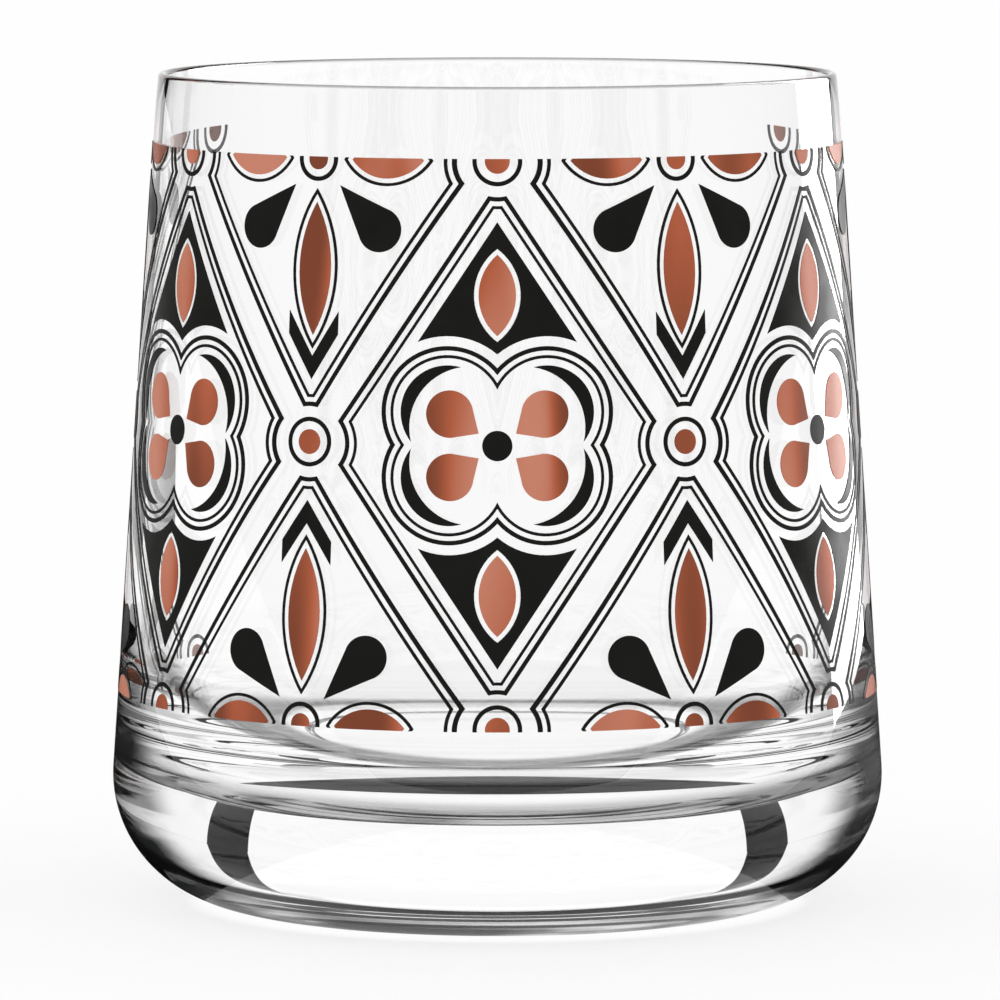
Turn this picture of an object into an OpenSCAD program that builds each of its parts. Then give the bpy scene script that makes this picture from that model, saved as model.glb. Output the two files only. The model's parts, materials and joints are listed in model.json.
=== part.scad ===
// Whisky tumbler with a heavy base and a fired two-colour print round the front of its wall.
// Millimetres, +Z up, the front faces -Y. The origin is the centre of the foot, which stands on Z = 0.

/* [Glass] */
// Height from the foot to the top of the rim
glass_h = 97; // [85:1:110]
// Outer diameter at the rim
rim_d = 79; // [72:1:86]
// Widest outer diameter, at the top of the heel
body_d = 90; // [84:1:98]
// Wall thickness at the rim
rim_wall = 1.0; // [0.8:0.1:1.8]
// How far the fire-polished bead along the rim swells past each face of the wall
bead_swell = 0.05; // [0.03:0.01:0.3]
// Wall thickness where the inner wall runs into the floor fillet
lower_wall = 2.1; // [1.5:0.1:3.5]
// Thickness of the base in the middle
base_t = 13; // [9:0.5:18]
// Inner radius between the wall and the floor of the bowl
floor_fillet_r = 17; // [10:0.5:20]
// Outer radius of the heel, where the wall turns into the foot
heel_r = 15; // [10:0.5:18]
// Diameter of the hollow under the foot
punt_d = 50; // [30:1:54]
// Height of the hollow under the foot
punt_h = 0.8; // [0.5:0.1:2.5]
// Width of the sloping edge round the hollow
punt_edge = 2; // [1:0.1:4]

/* [Print band] */
// Clear glass between the rim and the print
print_drop = 8; // [6:0.5:14]
// Height of the print's lower edge above the foot
print_base = 25; // [22:0.5:34]
// Thickness of the fired colour
print_t = 0.1; // [0.05:0.01:0.2]
// Clearance between the fired colour and the wall, so that the two round faces stay apart
print_seat = 0.05; // [0.03:0.01:0.08]
// Lozenges that a full turn would hold in one row
turn_lozenges = 6; // [5:1:7]
// Whole lozenges that are printed, the middle one at the front
whole_lozenges = 3; // [1:2:3]
// Clear strip between two neighbouring lozenges
strip_w = 2.6; // [2:0.1:3.6]
// Width of the outer line of a double line
line_w = 0.5; // [0.3:0.05:0.8]
// Clear gap inside a double line
line_gap = 0.5; // [0.3:0.05:0.7]
// Width of the inner line of a double line
fine_w = 0.35; // [0.25:0.01:0.5]
// Clear margin between a double line and the ornament inside it
margin = 1.1; // [0.8:0.1:1.6]
// How far the band runs past the middle of its edge rows
edge_lap = 0.25; // [0.1:0.05:0.6]

/* [Print ornaments] */
// Outer radius of the roundel where four lozenges meet
roundel_r = 2.8; // [2.2:0.1:3.4]
// Clear gap between a roundel and the lozenges round it
roundel_gap = 1.2; // [0.8:0.1:1.6]
// Radius of the dot in a roundel
roundel_dot_r = 1.4; // [0.8:0.1:1.6]
// Outer radius of the ring in the middle of a half lozenge
eye_r = 2.5; // [2:0.1:3]
// Radius of the dot in that ring
eye_dot_r = 1.2; // [0.8:0.05:1.4]
// Width of a leaf over its outline
leaf_w = 5.8; // [4.5:0.1:6.5]
// Radius of the round end of a drop
drop_r = 2.5; // [1.8:0.1:2.8]
// Clear gap between small ornaments
small_gap = 0.8; // [0.5:0.05:1.2]
// Height of the bar of a chevron
chevron_w = 2.6; // [1.6:0.1:3.2]
// Reach of a chevron to each side
chevron_span = 3.2; // [2.4:0.1:4]
// Place of a quatrefoil's lobes on the way from its middle to the lozenge's sides
lobe_share = 0.48; // [0.42:0.01:0.5]
// Greatest thickness of a crescent
crescent_w = 1.5; // [1:0.05:2]
// Radius of a crescent's opening against that of its outer edge
crescent_open = 1.3; // [1.2:0.05:1.5]
// Radius of a petal's round end against that of the crescent round it
petal_share = 0.5; // [0.4:0.01:0.55]
// Clear gap between a petal and its crescent
petal_gap = 1.4; // [0.8:0.1:1.8]
// Radius of the dot in the middle of a quatrefoil
heart_r = 1.7; // [1.2:0.1:2]
// Width of the leaf in an arrowhead, over its clear edge
arrow_leaf_w = 5.2; // [4:0.1:6]
// Solid colour at the foot of an arrowhead, below its leaf
arrow_foot = 1.4; // [1:0.1:2]
// Solid colour at the tip of an arrowhead, above its leaf
arrow_tip = 3; // [2:0.1:4]

/* [Hidden] */
$fn = 128;
over = 1;         // how far a cutting shape runs past what it cuts
crossing = 6;     // degrees at which an arc crosses a straight line that it blends into
black_ink = "#1c1c1b";
copper_ink = "#b5603f";
clear_glass = [0.86, 0.92, 0.92, 0.35];

// Outer wall: a line from the rim down to the heel's arc
rim_r = rim_d / 2;
body_r = body_d / 2;
heel_x = body_r - heel_r;
heel_z = heel_r * cos(crossing);
wall_slope = (body_r - rim_r) / (glass_h - heel_z);
function wall_r(z) = rim_r + wall_slope * (glass_h - z);

// Inner wall: a line from the rim down to the floor's fillet
fillet_z = base_t + floor_fillet_r * cos(crossing);
inner_rim_r = rim_r - rim_wall;
inner_low_r = wall_r(fillet_z) - lower_wall;
inner_slope = (inner_low_r - inner_rim_r) / (glass_h - fillet_z);
fillet_x = inner_low_r - floor_fillet_r;
function inner_r(z) = inner_rim_r + inner_slope * (glass_h - z);

// Rim and foot
bead_r = rim_wall / 2 + bead_swell;
bead_z = glass_h - bead_r;
bead_x = (wall_r(bead_z) + inner_r(bead_z)) / 2;
punt_r = punt_d / 2;
punt_spread = punt_edge / punt_h;

// Net of lozenges: a row of whole ones round the middle of the band, and half ones on both its edges
print_top = glass_h - print_drop;
print_mid = (print_top + print_base) / 2;
half_rows = [print_base + edge_lap, print_top - edge_lap];
pitch = 360 / turn_lozenges;
lozenge_v = (print_top - print_base) / 2 - edge_lap;
function lozenge_w(z) = wall_r(z) * sin(pitch / 2);
function lozenge_in(w) = lozenge_v * w / norm([lozenge_v, w]);
function side_angle(w) = atan2(w, lozenge_v);
last_whole = (whole_lozenges - 1) / 2;
whole_azimuths = [for (k = [-last_whole : last_whole]) k * pitch];
half_azimuths = [for (k = [-last_whole - 1 : last_whole]) (k + 0.5) * pitch];
edge_azimuths = [for (k = [-last_whole - 1 : last_whole + 1]) k * pitch];

// Double lines, measured inwards from the lozenge's own edge
outline_in = strip_w / 2;
inline_in = outline_in + line_w + line_gap;
field_in = inline_in + fine_w + margin;
double_line_w = line_w + line_gap + fine_w;
corner_in = roundel_r + roundel_gap + field_in - outline_in;
function field_top(w) = lozenge_v * (1 - field_in / lozenge_in(w));

// Half lozenges: their ornament fits the narrowest row
half_w = lozenge_w(print_top);
leaf_start = eye_r + small_gap;
side_leaf_l = half_w - corner_in - leaf_start;
stem_leaf_l = field_top(half_w) - chevron_w - small_gap - leaf_start;
drop_start = leaf_start + small_gap;
drop_reach = (lozenge_in(half_w) - field_in) / cos(45 - side_angle(half_w));

// Whole lozenges
whole_w = lozenge_w(print_mid);
whole_side = side_angle(whole_w);
whole_reach = lozenge_in(whole_w) - field_in;
lobe_at = lobe_share * whole_reach;
lobe_x = lobe_at * cos(whole_side);
lobe_y = lobe_at * sin(whole_side);
lobe_r = whole_reach + margin / 4 - lobe_at;
crescent_r = lobe_r - double_line_w - small_gap;
crescent_cut_r = crescent_open * crescent_r;
crescent_shift = crescent_cut_r - crescent_r + crescent_w;
petal_r = petal_share * crescent_r;
petal_reach = lobe_at + crescent_r - crescent_w - petal_gap;
cusp_y = lobe_y + sqrt(pow(lobe_r + margin, 2) - pow(lobe_x, 2));
arrow_leaf_start = cusp_y + arrow_foot;
arrow_leaf_l = field_top(whole_w) - arrow_tip - arrow_leaf_start;

// Glass

module below(z) {
    translate([-body_d, z - glass_h]) square([2 * body_d, glass_h]);
}

module outer_profile() {
    foot_z = heel_z + heel_r * wall_slope;
    difference() {
        union() {
            polygon([[0, 0], [heel_x, 0], [heel_x, heel_z], [wall_r(foot_z), foot_z],
                     [wall_r(bead_z), bead_z], [0, bead_z]]);
            translate([heel_x, heel_z]) circle(r = heel_r);
        }
        below(0);
    }
}

module bowl_profile() {
    foot_z = fillet_z + floor_fillet_r * inner_slope;
    top_z = glass_h + over;
    difference() {
        union() {
            polygon([[0, base_t], [fillet_x, base_t], [fillet_x, fillet_z], [inner_r(foot_z), foot_z],
                     [inner_r(top_z), top_z], [0, top_z]]);
            translate([fillet_x, fillet_z]) circle(r = floor_fillet_r);
        }
        below(base_t);
    }
}

module punt_profile() {
    polygon([[0, -over], [punt_r + punt_spread * over, -over], [punt_r - punt_edge, punt_h], [0, punt_h]]);
}

module glass_body() {
    color(clear_glass)
    rotate_extrude() {
        difference() {
            outer_profile();
            bowl_profile();
            punt_profile();
        }
        translate([bead_x, bead_z]) circle(r = bead_r);
    }
}

// Print: flat ornaments are cast radially on to the wall, and keep the thickness of the fired colour

module print_skin() {
    low_r = wall_r(print_base) + print_seat;
    top_r = wall_r(print_top) + print_seat;
    rotate([0, 0, 90]) rotate_extrude()
        polygon([[low_r, print_base], [low_r + print_t, print_base],
                 [top_r + print_t, print_top], [top_r, print_top]]);
}

module cast_on_wall(azimuths, rows) {
    start = rim_r * cos(pitch);
    for (z = rows, azimuth = azimuths)
        let ($half_w = lozenge_w(z))
        intersection() {
            rotate([0, 0, azimuth]) translate([0, -start, z]) rotate([90, 0, 0])
                linear_extrude(height = body_r - start + over) children();
            print_skin();
        }
}

module whole_cells() {
    cast_on_wall(whole_azimuths, [print_mid]) children();
}

module half_cells() {
    cast_on_wall(half_azimuths, half_rows) children();
}

module roundel_places() {
    cast_on_wall(half_azimuths, [print_mid]) children();
    cast_on_wall(edge_azimuths, half_rows) children();
}

// Flat shapes

module lozenge(inset) {
    keep = 1 - inset / lozenge_in($half_w);
    corners = [[$half_w, 0], [0, lozenge_v], [-$half_w, 0], [0, -lozenge_v]];
    difference() {
        polygon(keep * corners);
        for (corner = corners)
            translate(corner) circle(r = roundel_r + roundel_gap + inset - outline_in);
    }
}

module lozenge_line(inset, width) {
    difference() {
        lozenge(inset);
        lozenge(inset + width);
    }
}

module ring(r, width) {
    difference() {
        circle(r = r);
        circle(r = r - width);
    }
}

// Towards four directions, the first one at the given angle
module crosswise(angle) {
    for (a = [0 : 90 : 270]) rotate(angle + a) children();
}

// Towards the upper and the lower tip of the lozenge
module to_tips() {
    for (a = [90, 270]) rotate(a) children();
}

// Towards the left and the right corner of the lozenge
module to_corners() {
    for (a = [0, 180]) rotate(a) children();
}

// Towards the middle of each side of the lozenge
module to_sides() {
    side = side_angle($half_w);
    for (a = [side, 180 - side, 180 + side, -side]) rotate(a) children();
}

// A pointed leaf between two arcs, drawn in by inset
module leaf(start, length, width, inset) {
    arc_r = (length * length + width * width) / (4 * width);
    translate([start + length / 2, 0])
        intersection_for (side = [-1, 1])
            translate([0, side * (arc_r - width / 2)]) circle(r = arc_r - inset);
}

// A drop with its round end outwards
module drop(start, reach, r) {
    length = reach - r - start;
    flank = r * cos(crossing);
    half_point = asin(flank / length);
    touch = flank * [-sin(half_point), cos(half_point)];
    translate([reach - r, 0]) {
        circle(r = r);
        polygon([[0, 0], touch, [-length, 0], [touch.x, -touch.y]]);
    }
}

module leaf_cross(inset) {
    to_corners() leaf(leaf_start, side_leaf_l, leaf_w, inset);
    to_tips() leaf(leaf_start, stem_leaf_l, leaf_w, inset);
}

module chevron() {
    top = field_top($half_w);
    foot = top - chevron_span * lozenge_v / $half_w;
    polygon([[0, top], [chevron_span, foot], [chevron_span, foot - chevron_w],
             [0, top - chevron_w], [-chevron_span, foot - chevron_w], [-chevron_span, foot]]);
}

module quatrefoil(inset) {
    to_sides() translate([lobe_at, 0]) circle(r = lobe_r - inset);
    square([2 * lobe_x, 2 * lobe_y], center = true);
}

module quatrefoil_line(inset, width) {
    difference() {
        quatrefoil(inset);
        quatrefoil(inset + width);
    }
}

module crescent() {
    difference() {
        circle(r = crescent_r);
        translate([-crescent_shift, 0]) circle(r = crescent_cut_r);
    }
}

module arrow_leaf(inset) {
    leaf(arrow_leaf_start, arrow_leaf_l, arrow_leaf_w, inset);
}

// Lozenges

module black_lozenge_outlines() {
    color(black_ink) {
        whole_cells() lozenge_line(outline_in, line_w);
        half_cells() lozenge_line(outline_in, line_w);
    }
}

module black_lozenge_inlines() {
    color(black_ink) {
        whole_cells() lozenge_line(inline_in, fine_w);
        half_cells() lozenge_line(inline_in, fine_w);
    }
}

// Half lozenges with a leaf cross

module copper_leaves() {
    color(copper_ink) half_cells() leaf_cross(fine_w + line_gap);
}

module black_leaf_outlines() {
    color(black_ink)
        half_cells()
            difference() {
                leaf_cross(0);
                leaf_cross(fine_w);
            }
}

module black_drops() {
    color(black_ink) half_cells() crosswise(45) drop(drop_start, drop_reach, drop_r);
}

module black_chevrons() {
    color(black_ink) half_cells() for (a = [0, 180]) rotate(a) chevron();
}

module black_eye_rings() {
    color(black_ink) half_cells() ring(eye_r, line_w);
}

module copper_eyes() {
    color(copper_ink) half_cells() circle(r = eye_dot_r);
}

// Whole lozenges with a quatrefoil

module black_quatrefoil_outlines() {
    color(black_ink) whole_cells() quatrefoil_line(0, line_w);
}

module black_quatrefoil_inlines() {
    color(black_ink) whole_cells() quatrefoil_line(line_w + line_gap, fine_w);
}

module black_crescents() {
    color(black_ink) whole_cells() to_sides() translate([lobe_at, 0]) crescent();
}

module copper_petals() {
    color(copper_ink) whole_cells() to_sides() drop(heart_r + small_gap, petal_reach, petal_r);
}

module black_hearts() {
    color(black_ink) whole_cells() circle(r = heart_r);
}

module black_arrowheads() {
    color(black_ink)
        whole_cells()
            difference() {
                lozenge(field_in);
                quatrefoil(-margin);
                square([2 * whole_w, 2 * whole_reach * sin(whole_side)], center = true);
                to_tips() arrow_leaf(0);
            }
}

module copper_arrow_leaves() {
    color(copper_ink) whole_cells() to_tips() arrow_leaf(line_gap);
}

// Roundels

module black_roundel_rings() {
    color(black_ink) roundel_places() ring(roundel_r, line_w);
}

module copper_roundel_dots() {
    color(copper_ink) roundel_places() circle(r = roundel_dot_r);
}

glass_body();
black_lozenge_outlines();
black_lozenge_inlines();
copper_leaves();
black_leaf_outlines();
black_drops();
black_chevrons();
black_eye_rings();
copper_eyes();
black_quatrefoil_outlines();
black_quatrefoil_inlines();
black_crescents();
copper_petals();
black_hearts();
black_arrowheads();
copper_arrow_leaves();
black_roundel_rings();
copper_roundel_dots();
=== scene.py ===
"""Looks of the whisky tumbler: a smooth clear glass with a fired black and copper print, on a pale floor."""
import json
import math

import bmesh
import bpy
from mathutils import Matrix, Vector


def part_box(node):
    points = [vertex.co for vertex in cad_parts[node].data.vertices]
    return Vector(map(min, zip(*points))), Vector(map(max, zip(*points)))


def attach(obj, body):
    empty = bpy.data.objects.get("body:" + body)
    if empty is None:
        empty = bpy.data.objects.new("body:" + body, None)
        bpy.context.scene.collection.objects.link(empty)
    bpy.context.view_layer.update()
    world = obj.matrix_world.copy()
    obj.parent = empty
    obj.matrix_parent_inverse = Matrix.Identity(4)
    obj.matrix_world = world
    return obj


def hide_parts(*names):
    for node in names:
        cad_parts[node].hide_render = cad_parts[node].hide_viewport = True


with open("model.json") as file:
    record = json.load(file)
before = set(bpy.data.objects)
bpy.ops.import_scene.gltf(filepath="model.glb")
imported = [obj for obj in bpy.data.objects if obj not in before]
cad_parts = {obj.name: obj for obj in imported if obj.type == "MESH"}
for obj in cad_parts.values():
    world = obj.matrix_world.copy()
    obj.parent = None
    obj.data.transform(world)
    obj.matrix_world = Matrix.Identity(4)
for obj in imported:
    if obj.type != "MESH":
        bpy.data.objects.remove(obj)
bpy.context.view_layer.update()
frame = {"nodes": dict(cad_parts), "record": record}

MM = 0.001

# Sizes of the glass, in metres. Its height and widest radius come from the frame.
GLASS_LOW, GLASS_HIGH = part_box("glass_body")
GLASS_H = GLASS_HIGH.z
BODY_R = round((GLASS_HIGH.x - GLASS_LOW.x) / 2, 4)
RIM_R = 39.5 * MM
RIM_WALL = 1.0 * MM
LOWER_WALL = 2.1 * MM
BASE_T = 13 * MM
FLOOR_FILLET_R = 17 * MM
HEEL_R = 15 * MM
PUNT_R = 25 * MM
PUNT_H = 0.8 * MM
PUNT_EDGE = 2 * MM
FUSED = 0.08 * MM      # how far the glass surface comes up round the fired colour

# Points of the lathe
SEGMENTS = 384
ARC_POINTS = 28
WALL_POINTS = 24
PUNT_POINTS = 8
RING_POINTS = 4
FLOOR_POINTS = 10
ON_AXIS = 1e-9

# Clear glass, and the painted shade that darkens its rim, the edges of its wall and the rounded part of its
# foot, in place of the dark room seen in it
WHITE = (1, 1, 1, 1)
GLASS_IOR = 1.51
GLASS_SPECULAR = 0.25
EDGE_PAINTED_SHADE = (0.03, 0.032, 0.032, 1)
RIM_PAINTED_SHADE = 0.75
RIM_FADE = (0.40 * MM, 0.15 * MM)
WALL_PAINTED_SHADE = 0.3
WALL_FACING = (0.88, 1.0)
FOOT_SHADE = (0.010, 0.010, 0.010, 1)
FOOT_SHARE = 0.75
FOOT_FACING = (0.52, 0.72)
FOOT_FADE = (36 * MM, 22 * MM)
FOOT_RADIUS = (25 * MM, 28 * MM)
CORNER_PAINTED_SHADE = 0.6      # painted shade in the corner between the floor of the bowl and its fillet
CORNER_FACING = (0.46, 0.62)
CORNER_LOW = (12.8 * MM, 13.2 * MM)
CORNER_HIGH = (17.8 * MM, 15.0 * MM)
STREAK_SCALE = (30.0, 30.0, 260.0)
STREAK_STEP = (0.46, 0.66)
STREAK_LEFT = 0.25
RIPPLE_SCALE = 28.0
RIPPLE = 0.008

# Fired colours
BLACK_TONES = (0.009, 0.009, 0.0082, 1), (0.016, 0.0157, 0.0145, 1)
BLACK_CLOUD = 160.0
BLACK_GRAIN = 5000.0
BLACK_ROUGH = (0.25, 0.40)
BLACK_SPECULAR = 0.03
BLACK_BUMP = 0.04
# Copper tones: the print's own colour, with the dark and pale ends as painted shade and painted sheen of the
# metal lustre
COPPER_DARK = (0.215, 0.060, 0.030, 1)
COPPER_MID = (0.455, 0.116, 0.055, 1)
COPPER_PALE = (0.600, 0.235, 0.156, 1)
COPPER_PAINTED_SHEEN = (115.0, 115.0, 16.0)
COPPER_STEP = (0.32, 0.68)
COPPER_FLAKE = 4200.0
COPPER_ROUGH = (0.30, 0.42)
COPPER_SPECULAR = 0.05
COPPER_BUMP = 0.12
GRAIN_STEP = (0.3, 0.7)
GRAIN_DEPTH = 0.00003

# Camera of the photograph
CAMERA_BACK = 0.960
CAMERA_UP = 0.1395
CAMERA_SIDE = 0.0003
CAMERA_PITCH = 0.0962
FOCAL_PX = 8240
FRAME_PX = 1000
SENSOR_MM = 36.0
CLIP = (0.01, 100.0)

# Floor. Its glow falls off towards the foot, and comes back under it.
FLOOR_R = 14.0
FLOOR_SIDES = 96
FLOOR_TONES = (0.90, 0.90, 0.90, 1), (0.94, 0.94, 0.94, 1)
FLOOR_SPECK = 90.0
GLOW_RADIUS = (45 * MM, 110 * MM)
GLOW_SHARE = (0.76, 0.90)
UNDER_RADIUS = (34 * MM, 44 * MM)
UNDER_SHARE = 0.97

# Room. Angles are in degrees, the azimuth turns from the far side of the glass.
SCREEN_TOP = 44.0      # white screens all round up to here, as the glass shows them
SCREEN_SOFT = 2.0
GLOSS_TO = 25.0        # the gloss sees the white screen only this far round
GLOSS_SOFT = 3.0
BACK_SOFT = 0.05
DARK = 0.015
DOME = 1.0             # soft light that falls on everything

# Dark cards and the strip of light, unseen by the camera
CARD_AWAY = 0.36
CARD_T = 0.003
FLAG_TURN = 28.0
FLAG_SIZE = (0.045, 0.34)
FLAG_AT = 0.1705
BAR_TURN = 26.0
BAR_SIZE = (0.14, 0.015)
BAR_AT = 0.008
TABLE_AT = 0.1945
TABLE_SIZE = (0.32, 0.7)
TABLE_T = 0.0002
FELT_TONES = (0.004, 0.004, 0.004, 1), (0.008, 0.008, 0.008, 1)
FELT_NAP = 400.0
FELT_ROUGH = 0.9
# Painted shadow: a dark arc on the floor in front of the foot, seen only through the glass
FRONT_R = (0.0314, 0.0388)
FRONT_REACH = 72.0
FRONT_STEPS = 72
FRONT_Z = 0.00005
FRONT_DARK_TO = 0.0350
FRONT_SHADOW_TONES = (0.040, 0.040, 0.040, 1), (0.320, 0.320, 0.320, 1)
STRIP_TURN = 49.0
STRIP_AWAY = 0.39
STRIP_SIZE = (0.209, 0.52)
STRIP_POWER = 2.85

BOUNCES = 24
GLOSS_BOUNCES = 12


def arc(centre, radius, start, end, count):
    """Points on a circle in the profile plane, from one angle to the other, in degrees."""
    steps = [math.radians(start + (end - start) * i / count) for i in range(count + 1)]
    return [(centre[0] + radius * math.cos(a), centre[1] + radius * math.sin(a)) for a in steps]


def line(a, b, count):
    """Points between a and b, without the ends."""
    return [(a[0] + (b[0] - a[0]) * i / count, a[1] + (b[1] - a[1]) * i / count) for i in range(1, count)]


def tangent_angle(centre, radius, point):
    """Angle on a circle where the line up to the point touches it on its outer side, in degrees."""
    dx, dz = point[0] - centre[0], point[1] - centre[1]
    return math.degrees(math.atan2(dz, dx) - math.acos(radius / math.hypot(dx, dz)))


def glass_profile():
    """Half section of the glass, from the middle of the hollow round the rim to the middle of the floor."""
    bead_r = RIM_WALL / 2
    bead = (RIM_R - bead_r, GLASS_H - bead_r)
    punt = [(0, PUNT_H)] + line((0, PUNT_H), (PUNT_R - PUNT_EDGE, PUNT_H), PUNT_POINTS)
    punt += [(PUNT_R - PUNT_EDGE * (1 - t), PUNT_H * (1 + math.cos(math.pi * t)) / 2)
             for t in (i / ARC_POINTS for i in range(ARC_POINTS + 1))]

    heel_at = (BODY_R - HEEL_R, HEEL_R)
    heel_up = tangent_angle(heel_at, HEEL_R, (RIM_R, bead[1]))
    heel = arc(heel_at, HEEL_R, -90, heel_up, 2 * ARC_POINTS)

    fillet_z = BASE_T + FLOOR_FILLET_R
    wall_at_fillet = heel[-1][0] - (fillet_z - heel[-1][1]) * math.tan(math.radians(heel_up))
    fillet_at = (wall_at_fillet - LOWER_WALL - FLOOR_FILLET_R, fillet_z)
    inner_top = (RIM_R - RIM_WALL, bead[1])
    fillet_up = tangent_angle(fillet_at, FLOOR_FILLET_R, inner_top)
    fillet = arc(fillet_at, FLOOR_FILLET_R, fillet_up, -90, 2 * ARC_POINTS)

    rim = arc(bead, bead_r, heel_up, 180 + fillet_up, ARC_POINTS)
    outer = [(r + FUSED, z) for r, z in heel + line(heel[-1], rim[0], WALL_POINTS)]
    inner = line(rim[-1], fillet[0], WALL_POINTS) + fillet + line(fillet[-1], (0, BASE_T), FLOOR_POINTS)
    return punt + line(punt[-1], heel[0], RING_POINTS) + outer + rim + inner + [(0, BASE_T)]


def add_object(name, bm):
    """Turns a bmesh into an object, which is not yet in the scene."""
    mesh = bpy.data.meshes.new(name)
    bm.to_mesh(mesh)
    bm.free()
    return bpy.data.objects.new(name, mesh)


def lathe(name, profile):
    """Closed mesh of revolution about Z. The profile starts and ends on the axis."""
    bm = bmesh.new()
    turns = [2 * math.pi * k / SEGMENTS for k in range(SEGMENTS)]
    rings = []
    for r, z in profile:
        if r < ON_AXIS:
            rings.append([bm.verts.new((0, 0, z))])
        else:
            rings.append([bm.verts.new((r * math.sin(t), -r * math.cos(t), z)) for t in turns])
    for low, high in zip(rings, rings[1:]):
        for k in range(SEGMENTS):
            n = (k + 1) % SEGMENTS
            corners = [low[k % len(low)], low[n % len(low)], high[n % len(high)], high[k % len(high)]]
            bm.faces.new(list(dict.fromkeys(corners)))
    bmesh.ops.recalc_face_normals(bm, faces=bm.faces)
    piece = add_object(name, bm)
    piece.data.shade_smooth()
    bpy.context.scene.collection.objects.link(piece)
    return piece


class Nodes:
    """Short calls for building one node tree."""

    def __init__(self, tree):
        self.tree = tree
        self.tree.nodes.clear()

    def add(self, kind, settings=None, **inputs):
        node = self.tree.nodes.new(kind)
        for key, value in (settings or {}).items():
            setattr(node, key, value)
        for key, value in inputs.items():
            self.set(node, key.replace("_", " "), value)
        return node

    def set(self, node, key, value):
        socket = node.inputs[int(key)] if key.isdigit() else node.inputs[key]
        if isinstance(value, bpy.types.NodeSocket):
            self.tree.links.new(value, socket)
        else:
            socket.default_value = value

    def place(self):
        """Object coordinates."""
        return self.add("ShaderNodeTexCoord").outputs["Object"]

    def math(self, operation, a, b=0.0):
        node = self.add("ShaderNodeMath", {"operation": operation})
        self.set(node, "0", a)
        self.set(node, "1", b)
        return node.outputs[0]

    def times(self, first, *others):
        for other in others:
            first = self.math("MULTIPLY", first, other)
        return first

    def most(self, a, b):
        return self.math("MAXIMUM", a, b)

    def smooth(self, value, low, high, to_low=0.0, to_high=1.0):
        node = self.add("ShaderNodeMapRange", {"interpolation_type": "SMOOTHSTEP"})
        for key, part in zip("01234", (value, low, high, to_low, to_high)):
            self.set(node, key, part)
        return node.outputs[0]

    def length(self, vector):
        node = self.add("ShaderNodeVectorMath", {"operation": "LENGTH"})
        self.set(node, "0", vector)
        return node.outputs["Value"]

    def scaled(self, vector, scale):
        node = self.add("ShaderNodeVectorMath", {"operation": "MULTIPLY"})
        self.set(node, "0", vector)
        self.set(node, "1", scale)
        return node.outputs[0]

    def stretched(self, vector, scale):
        node = self.add("ShaderNodeMapping", Scale=scale)
        self.set(node, "Vector", vector)
        return node.outputs[0]

    def mix(self, factor, a, b):
        node = self.add("ShaderNodeMix", {"data_type": "RGBA"})
        self.set(node, "0", factor)
        self.set(node, "6", a)
        self.set(node, "7", b)
        return node.outputs[2]

    def mix_shaders(self, factor, a, b):
        node = self.add("ShaderNodeMixShader")
        self.set(node, "0", factor)
        self.set(node, "1", a.outputs[0])
        self.set(node, "2", b.outputs[0])
        return node

    def noise(self, where, scale, detail=2.0):
        node = self.add("ShaderNodeTexNoise", Scale=scale, Detail=detail)
        self.set(node, "Vector", where)
        return node.outputs[0]

    def bump(self, strength, distance, height):
        return self.add("ShaderNodeBump", Strength=strength, Distance=distance, Height=height).outputs[0]

    def finish(self, shader, kind="ShaderNodeOutputMaterial"):
        self.set(self.add(kind), "Surface", shader.outputs[0])


def material(name):
    made = bpy.data.materials.new(name)
    made.use_nodes = True
    return made, Nodes(made.node_tree)


def clear_glass():
    """Clear glass with painted shade: its sides go dark where they turn away, more so in the solid foot, with
    light streaks, and its rim and the corner of the bowl go dark too.
    """
    made, n = material("clear_glass")
    where = n.place()
    height = n.add("ShaderNodeSeparateXYZ", Vector=where).outputs["Z"]
    rounded = n.smooth(n.length(n.scaled(where, (1, 1, 0))), *FOOT_RADIUS)
    facing = n.add("ShaderNodeLayerWeight", Blend=0.5).outputs["Facing"]

    streak = n.noise(n.stretched(where, STREAK_SCALE), 1.0, 3.0)
    streak = n.smooth(streak, *STREAK_STEP, 1.0, STREAK_LEFT)
    foot = n.times(n.smooth(height, *FOOT_FADE), streak, n.smooth(facing, *FOOT_FACING))
    corner = n.times(n.smooth(height, *CORNER_LOW), n.smooth(height, *CORNER_HIGH),
                     n.smooth(facing, *CORNER_FACING, 0.0, CORNER_PAINTED_SHADE))
    foot_edge = n.times(n.most(foot, corner), rounded)

    rim = n.smooth(height, GLASS_H - RIM_FADE[0], GLASS_H - RIM_FADE[1], 0.0, RIM_PAINTED_SHADE)
    wall_edge = n.most(rim, n.smooth(facing, *WALL_FACING, 0.0, WALL_PAINTED_SHADE))

    glass = n.add("ShaderNodeBsdfPrincipled", Roughness=0.0, IOR=GLASS_IOR, Transmission_Weight=1.0,
                  Specular_IOR_Level=GLASS_SPECULAR)
    # painted shade: the edge masks darken the colour of the glass
    n.set(glass, "Base Color", n.mix(n.most(wall_edge, foot_edge), WHITE, EDGE_PAINTED_SHADE))
    n.set(glass, "Normal", n.bump(RIPPLE, 1.0 * MM, n.noise(where, RIPPLE_SCALE)))
    # painted shade: a dark shader mixed into the rounded foot and its edges
    shade = n.add("ShaderNodeBsdfPrincipled", Base_Color=FOOT_SHADE, Roughness=0.6, Specular_IOR_Level=0.1)
    n.finish(n.mix_shaders(n.times(foot_edge, FOOT_SHARE), glass, shade))
    return made


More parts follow.
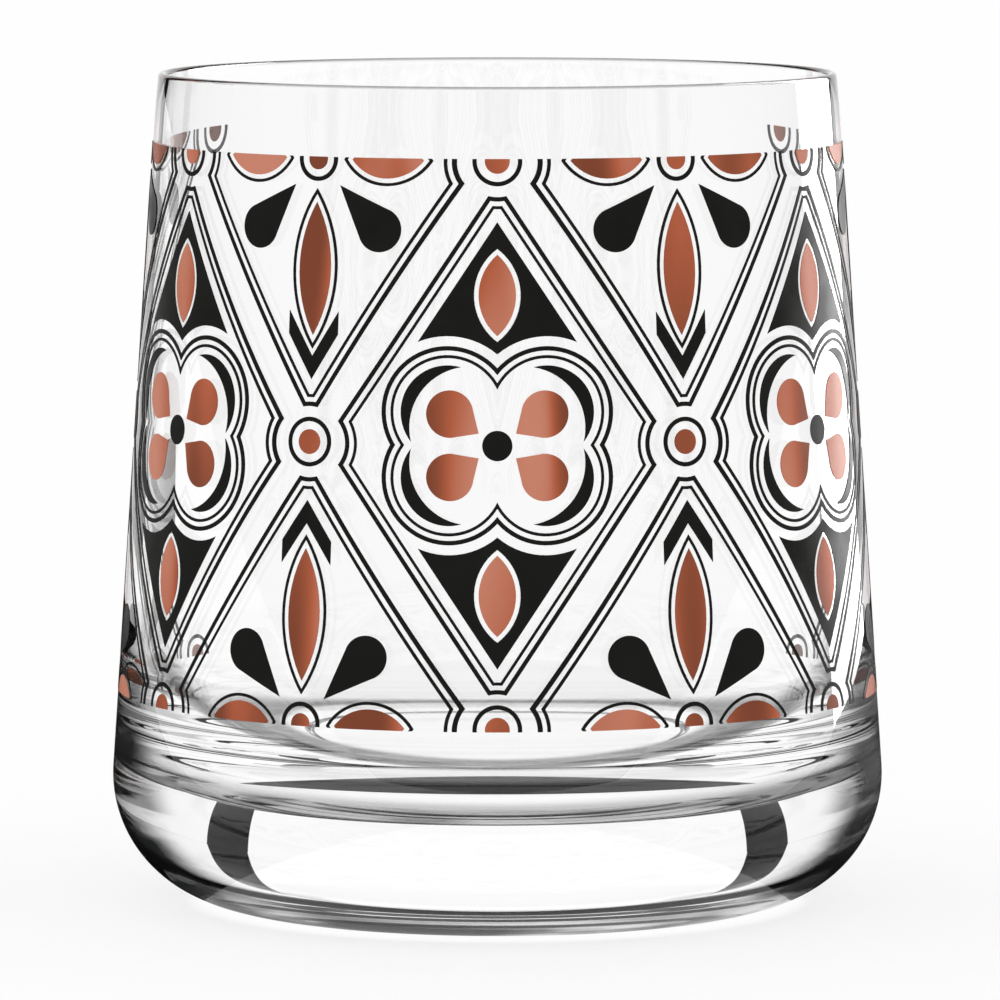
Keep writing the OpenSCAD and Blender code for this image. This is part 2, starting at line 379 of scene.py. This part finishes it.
def black_enamel():
    """Black print, a little cloudy and grained."""
    made, n = material("black_enamel")
    where = n.place()
    cloud = n.noise(where, BLACK_CLOUD, 3.0)
    shader = n.add("ShaderNodeBsdfPrincipled", Specular_IOR_Level=BLACK_SPECULAR)
    n.set(shader, "Base Color", n.mix(cloud, *BLACK_TONES))
    n.set(shader, "Roughness", n.smooth(cloud, *GRAIN_STEP, *BLACK_ROUGH))
    n.set(shader, "Normal", n.bump(BLACK_BUMP, GRAIN_DEPTH, n.noise(where, BLACK_GRAIN)))
    n.finish(shader)
    return made


def copper_lustre():
    """Copper print in its own colour, painted darker and lighter in soft upright bands as painted sheen of
    the metal lustre.
    """
    made, n = material("copper_lustre")
    where = n.place()
    # painted sheen: soft upright bands of darker and paler copper
    painted_sheen = n.smooth(n.noise(n.stretched(where, COPPER_PAINTED_SHEEN), 1.0, 1.0), *COPPER_STEP)
    flake = n.noise(where, COPPER_FLAKE)
    tone = n.add("ShaderNodeValToRGB", Fac=painted_sheen)
    stops = tone.color_ramp.elements
    stops[0].color = COPPER_DARK
    stops[1].color = COPPER_PALE
    stops.new(0.5).color = COPPER_MID
    shader = n.add("ShaderNodeBsdfPrincipled", Specular_IOR_Level=COPPER_SPECULAR)
    n.set(shader, "Base Color", tone.outputs[0])
    n.set(shader, "Roughness", n.smooth(flake, *GRAIN_STEP, *COPPER_ROUGH))
    n.set(shader, "Normal", n.bump(COPPER_BUMP, GRAIN_DEPTH, flake))
    n.finish(shader)
    return made


def pale_floor():
    """White floor that glows a little for the eye, less round the glass, where its shadow stays."""
    made, n = material("pale_floor")
    where = n.place()
    shader = n.add("ShaderNodeBsdfPrincipled", Specular_IOR_Level=0.0, Roughness=0.6)
    n.set(shader, "Base Color", n.mix(n.noise(where, FLOOR_SPECK, 4.0), *FLOOR_TONES))
    glow = n.add("ShaderNodeEmission", Color=WHITE, Strength=1.0)
    path = n.add("ShaderNodeLightPath").outputs
    seen = n.most(path["Is Camera Ray"], n.most(path["Is Glossy Ray"], path["Is Transmission Ray"]))
    radius = n.length(where)
    open_floor = n.smooth(radius, *GLOW_RADIUS, *GLOW_SHARE)
    under = n.smooth(radius, *UNDER_RADIUS, UNDER_SHARE, 0.0)
    n.finish(n.mix_shaders(n.times(seen, n.most(open_floor, under)), shader, glow))
    return made


def felt():
    """Black cloth of the dark cards."""
    made, n = material("dark_felt")
    shader = n.add("ShaderNodeBsdfPrincipled", Roughness=FELT_ROUGH, Specular_IOR_Level=0.0)
    n.set(shader, "Base Color", n.mix(n.noise(n.place(), FELT_NAP), *FELT_TONES))
    n.finish(shader)
    return made


def painted_shadow_felt():
    """Painted contact shadow: felt that is darker towards the foot of the glass."""
    made, n = material("painted_shadow_felt")
    paler = n.smooth(n.length(n.place()), FRONT_DARK_TO, FRONT_R[1])
    shader = n.add("ShaderNodeBsdfPrincipled", Roughness=FELT_ROUGH, Specular_IOR_Level=0.0)
    n.set(shader, "Base Color", n.mix(paler, *FRONT_SHADOW_TONES))
    n.finish(shader)
    return made


def studio_world():
    """Soft even light, and what the glass shows of the room: white screens all round, dark above."""
    world = bpy.data.worlds.new("studio")
    bpy.context.scene.world = world
    world.use_nodes = True
    n = Nodes(world.node_tree)
    split = n.add("ShaderNodeSeparateXYZ", Vector=n.add("ShaderNodeTexCoord").outputs["Generated"]).outputs
    to_degrees = 180 / math.pi
    turn = n.math("ARCTAN2", n.math("ABSOLUTE", split["X"]), n.math("ABSOLUTE", split["Y"]))
    turn = n.times(turn, to_degrees)
    rise = n.times(n.math("ARCSINE", split["Z"]), to_degrees)
    screen = n.smooth(rise, SCREEN_TOP - SCREEN_SOFT, SCREEN_TOP + SCREEN_SOFT, 1.0, 0.0)
    path = n.add("ShaderNodeLightPath").outputs
    gloss = n.times(n.smooth(turn, GLOSS_TO - GLOSS_SOFT, GLOSS_TO + GLOSS_SOFT, 1.0, 0.0),
                    n.smooth(split["Y"], -BACK_SOFT, BACK_SOFT))
    lit = n.most(path["Is Transmission Ray"], gloss)
    room = n.math("ADD", n.times(screen, lit), DARK)
    falls_on = n.math("GREATER_THAN", path["Diffuse Depth"], 0.5)
    level = n.add("ShaderNodeMix")
    for key, part in zip("023", (falls_on, room, DOME)):
        n.set(level, key, part)
    light = n.add("ShaderNodeBackground", Color=WHITE)
    n.set(light, "Strength", level.outputs[0])
    n.finish(light, "ShaderNodeOutputWorld")


def floor():
    bm = bmesh.new()
    bmesh.ops.create_circle(bm, cap_ends=True, radius=FLOOR_R, segments=FLOOR_SIDES)
    ground = add_object("floor", bm)
    ground.data.materials.append(pale_floor())
    bpy.context.scene.collection.objects.link(ground)


def hide(thing, *kinds):
    """Puts a stage thing in the scene, unseen by these kinds of rays."""
    for kind in kinds:
        setattr(thing, "visible_" + kind, False)
    bpy.context.scene.collection.objects.link(thing)


def stand_at(thing, turn, away, height):
    """Places a thing on a circle round the glass, facing it."""
    angle = math.radians(turn)
    thing.location = (away * math.sin(angle), away * math.cos(angle), height)
    thing.rotation_euler = (0, 0, -angle)


def card(name, size, cloth):
    """Thin dark card, as a stage piece."""
    bm = bmesh.new()
    bmesh.ops.create_cube(bm, size=1.0)
    bmesh.ops.scale(bm, vec=size, verts=bm.verts)
    made = add_object(name, bm)
    made.data.materials.append(cloth)
    return made


def dark_cards():
    """Upright cards draw dark lines in the foot, and cards on the floor darken the gloss of its sides."""
    cloth = felt()
    standing = {"flag": (FLAG_TURN, FLAG_SIZE, FLAG_AT), "bar": (BAR_TURN, BAR_SIZE, BAR_AT)}
    for hand, side in (("right", 1), ("left", -1)):
        for name, (turn, size, height) in standing.items():
            upright = card(name + "_" + hand, (size[0], CARD_T, size[1]), cloth)
            stand_at(upright, side * turn, CARD_AWAY, height)
            hide(upright, "camera", "diffuse", "shadow", "glossy")
        lying = card("table_" + hand, (*TABLE_SIZE, TABLE_T), cloth)
        lying.location = (side * TABLE_AT, 0, 1.5 * TABLE_T)
        hide(lying, "camera", "diffuse", "shadow", "transmission")


def painted_shadow_arc():
    """Flat arc round the front of the foot that tapers to its ends: a dark sheet of painted shadow at the
    foot, seen only through the glass. It draws the dark band below the bowl.
    """
    bm = bmesh.new()
    inner, widest = FRONT_R
    rows = []
    for i in range(FRONT_STEPS):
        share = 2 * (i + 0.5) / FRONT_STEPS - 1
        angle = math.radians(share * FRONT_REACH)
        outer = inner + (widest - inner) * math.cos(share * math.pi / 2)
        rows.append([bm.verts.new((r * math.sin(angle), -r * math.cos(angle), 0)) for r in (inner, outer)])
    for a, b in zip(rows, rows[1:]):
        bm.faces.new((a[0], a[1], b[1], b[0]))
    made = add_object("painted_shadow_arc", bm)
    made.data.materials.append(painted_shadow_felt())
    made.location = (0, 0, FRONT_Z)
    hide(made, "camera", "diffuse", "shadow", "glossy")


def right_strip():
    """Upright strip of light at the right, seen only in the gloss."""
    lamp = bpy.data.lights.new("right_strip", "AREA")
    lamp.shape = "RECTANGLE"
    lamp.size, lamp.size_y = STRIP_SIZE
    lamp.energy = STRIP_POWER
    strip = bpy.data.objects.new("right_strip", lamp)
    stand_at(strip, STRIP_TURN, STRIP_AWAY, STRIP_SIZE[1] / 2)
    strip.rotation_euler.x = -math.pi / 2
    hide(strip, "camera", "diffuse", "transmission")


def camera():
    lens = bpy.data.cameras.new("camera")
    lens.sensor_width = SENSOR_MM
    lens.lens = FOCAL_PX * SENSOR_MM / FRAME_PX
    lens.clip_start, lens.clip_end = CLIP
    view = bpy.data.objects.new("camera", lens)
    view.location = (CAMERA_SIDE, -CAMERA_BACK, CAMERA_UP)
    view.rotation_euler = (math.pi / 2 - CAMERA_PITCH, 0, 0)
    bpy.context.scene.collection.objects.link(view)
    bpy.context.scene.camera = view


def dress_print():
    """Gives each printed node the material of its slot."""
    inks = {"black_enamel": black_enamel(), "copper_enamel": copper_lustre()}
    for row in frame["record"]["subparts"]:
        ink = inks.get(row["material_slot"])
        if ink is None:
            continue
        node = frame["nodes"][row["node"]]
        node.data.materials.clear()
        node.data.materials.append(ink)


def render_settings():
    scene = bpy.context.scene
    scene.view_settings.view_transform = "Standard"
    scene.cycles.max_bounces = BOUNCES
    scene.cycles.transmission_bounces = BOUNCES
    scene.cycles.glossy_bounces = GLOSS_BOUNCES


camera()
studio_world()
floor()
dark_cards()
painted_shadow_arc()
right_strip()

tumbler = lathe("tumbler_glass", glass_profile())
tumbler.data.materials.append(clear_glass())
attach(tumbler, "root")
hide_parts("glass_body")
dress_print()
render_settings()
